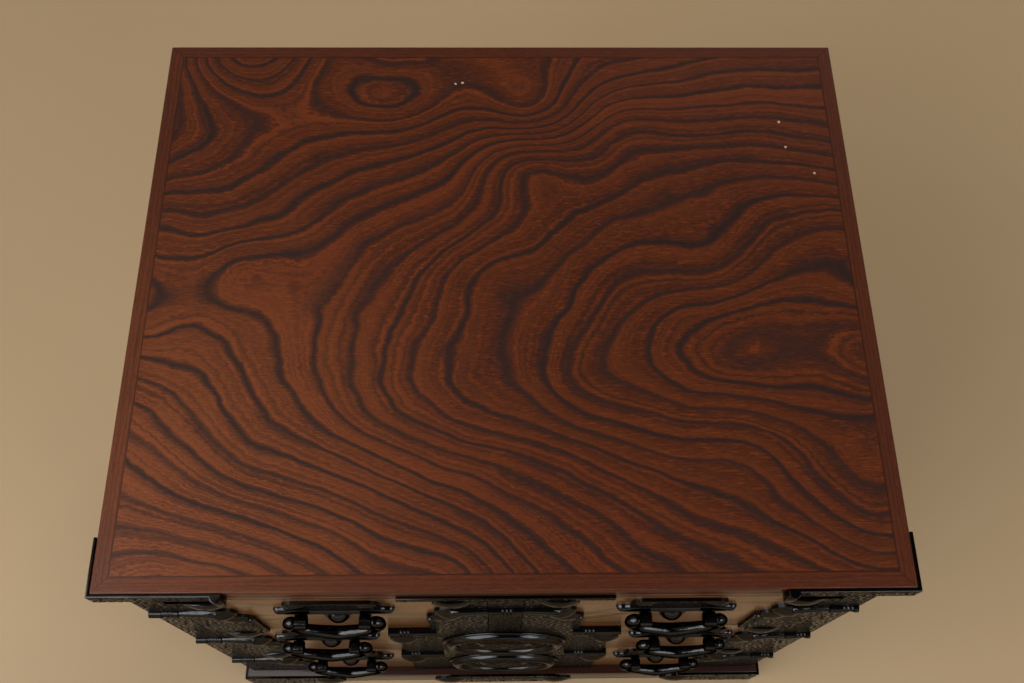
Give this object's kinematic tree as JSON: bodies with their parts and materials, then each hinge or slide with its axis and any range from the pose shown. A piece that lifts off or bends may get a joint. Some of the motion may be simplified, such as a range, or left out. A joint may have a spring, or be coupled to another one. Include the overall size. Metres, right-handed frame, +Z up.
{
  "type": "small tansu chest",
  "caption": "Low wooden drawer chest with an overhanging lacquered top, a projecting plinth, black embossed corner irons, round lock plates and hanging bail pulls.",
  "frame": {"origin": "middle of the bounding box on the floor plane", "axes": "+X to the right, +Y to the back, +Z up; the drawers face -Y"},
  "size_m": [0.6112, 0.5172, 0.498],
  "materials": {
    "top_wood": "gloss",
    "front_wood": "gloss",
    "case_wood": "gloss",
    "inner_wood": "matte",
    "drawer_wood": "matte",
    "embossed_iron": "satin",
    "forged_iron": "gloss"
  },
  "bodies": {
    "case": {"back_panel": "inner_wood", "bottom_board": "inner_wood", "centre_post": "case_wood", "centre_post_plates": "embossed_iron", "divider_lower": "inner_wood", "divider_upper": "inner_wood", "plinth_back": "case_wood", "plinth_centre_plate": "embossed_iron", "plinth_corner_left": "embossed_iron", "plinth_corner_right": "embossed_iron", "plinth_front": "front_wood", "plinth_left": "case_wood", "plinth_right": "case_wood", "post_plates_left": "embossed_iron", "post_plates_right": "embossed_iron", "rail_plate": "embossed_iron", "side_left": "case_wood", "side_right": "case_wood", "slab_corner_left": "embossed_iron", "slab_corner_right": "embossed_iron", "top_panel": "top_wood", "top_rail": "front_wood"},
    "left_drawer": {"left_drawer_back": "drawer_wood", "left_drawer_bottom": "drawer_wood", "left_drawer_corner_plates": "embossed_iron", "left_drawer_front": "front_wood", "left_drawer_handle_plates": "embossed_iron", "left_drawer_handle_posts": "forged_iron", "left_drawer_sides": "drawer_wood"},
    "left_drawer_bail": {"left_drawer_bail": "forged_iron"},
    "right_drawer": {"right_drawer_back": "drawer_wood", "right_drawer_bottom": "drawer_wood", "right_drawer_corner_plates": "embossed_iron", "right_drawer_front": "front_wood", "right_drawer_handle_plates": "embossed_iron", "right_drawer_handle_posts": "forged_iron", "right_drawer_sides": "drawer_wood"},
    "right_drawer_bail": {"right_drawer_bail": "forged_iron"},
    "middle_drawer": {"middle_drawer_back": "drawer_wood", "middle_drawer_bottom": "drawer_wood", "middle_drawer_corner_plates": "embossed_iron", "middle_drawer_front": "front_wood", "middle_drawer_handle_plates": "embossed_iron", "middle_drawer_handle_posts": "forged_iron", "middle_drawer_lock_disc": "embossed_iron", "middle_drawer_lock_plate": "embossed_iron", "middle_drawer_sides": "drawer_wood"},
    "middle_drawer_bail_left": {"middle_drawer_bail_left": "forged_iron"},
    "middle_drawer_bail_right": {"middle_drawer_bail_right": "forged_iron"},
    "lower_drawer": {"lower_drawer_back": "drawer_wood", "lower_drawer_bottom": "drawer_wood", "lower_drawer_corner_plates": "embossed_iron", "lower_drawer_front": "front_wood", "lower_drawer_handle_plates": "embossed_iron", "lower_drawer_handle_posts": "forged_iron", "lower_drawer_lock_disc": "embossed_iron", "lower_drawer_lock_plate": "embossed_iron", "lower_drawer_sides": "drawer_wood"},
    "lower_drawer_bail_left": {"lower_drawer_bail_left": "forged_iron"},
    "lower_drawer_bail_right": {"lower_drawer_bail_right": "forged_iron"}
  },
  "joints": [
    {"name": "left_drawer_slide", "type": "slide", "parent": "case", "child": "left_drawer", "axis": [0, -1, 0], "range_m": [0, 0.36]},
    {"name": "left_drawer_bail_swing", "type": "hinge", "parent": "left_drawer", "child": "left_drawer_bail", "pos_m": [-0.13425, -0.2496, 0.435], "axis": [-1, 0, 0], "range_deg": [0, 95]},
    {"name": "right_drawer_slide", "type": "slide", "parent": "case", "child": "right_drawer", "axis": [0, -1, 0], "range_m": [0, 0.36]},
    {"name": "right_drawer_bail_swing", "type": "hinge", "parent": "right_drawer", "child": "right_drawer_bail", "pos_m": [0.13425, -0.2496, 0.435], "axis": [-1, 0, 0], "range_deg": [0, 95]},
    {"name": "middle_drawer_slide", "type": "slide", "parent": "case", "child": "middle_drawer", "axis": [0, -1, 0], "range_m": [0, 0.36]},
    {"name": "middle_drawer_bail_left_swing", "type": "hinge", "parent": "middle_drawer", "child": "middle_drawer_bail_left", "pos_m": [-0.16, -0.2496, 0.29533], "axis": [-1, 0, 0], "range_deg": [0, 95]},
    {"name": "middle_drawer_bail_right_swing", "type": "hinge", "parent": "middle_drawer", "child": "middle_drawer_bail_right", "pos_m": [0.16, -0.2496, 0.29533], "axis": [-1, 0, 0], "range_deg": [0, 95]},
    {"name": "lower_drawer_slide", "type": "slide", "parent": "case", "child": "lower_drawer", "axis": [0, -1, 0], "range_m": [0, 0.36]},
    {"name": "lower_drawer_bail_left_swing", "type": "hinge", "parent": "lower_drawer", "child": "lower_drawer_bail_left", "pos_m": [-0.16, -0.2496, 0.15567], "axis": [-1, 0, 0], "range_deg": [0, 95]},
    {"name": "lower_drawer_bail_right_swing", "type": "hinge", "parent": "lower_drawer", "child": "lower_drawer_bail_right", "pos_m": [0.16, -0.2496, 0.15567], "axis": [-1, 0, 0], "range_deg": [0, 95]}
  ]
}
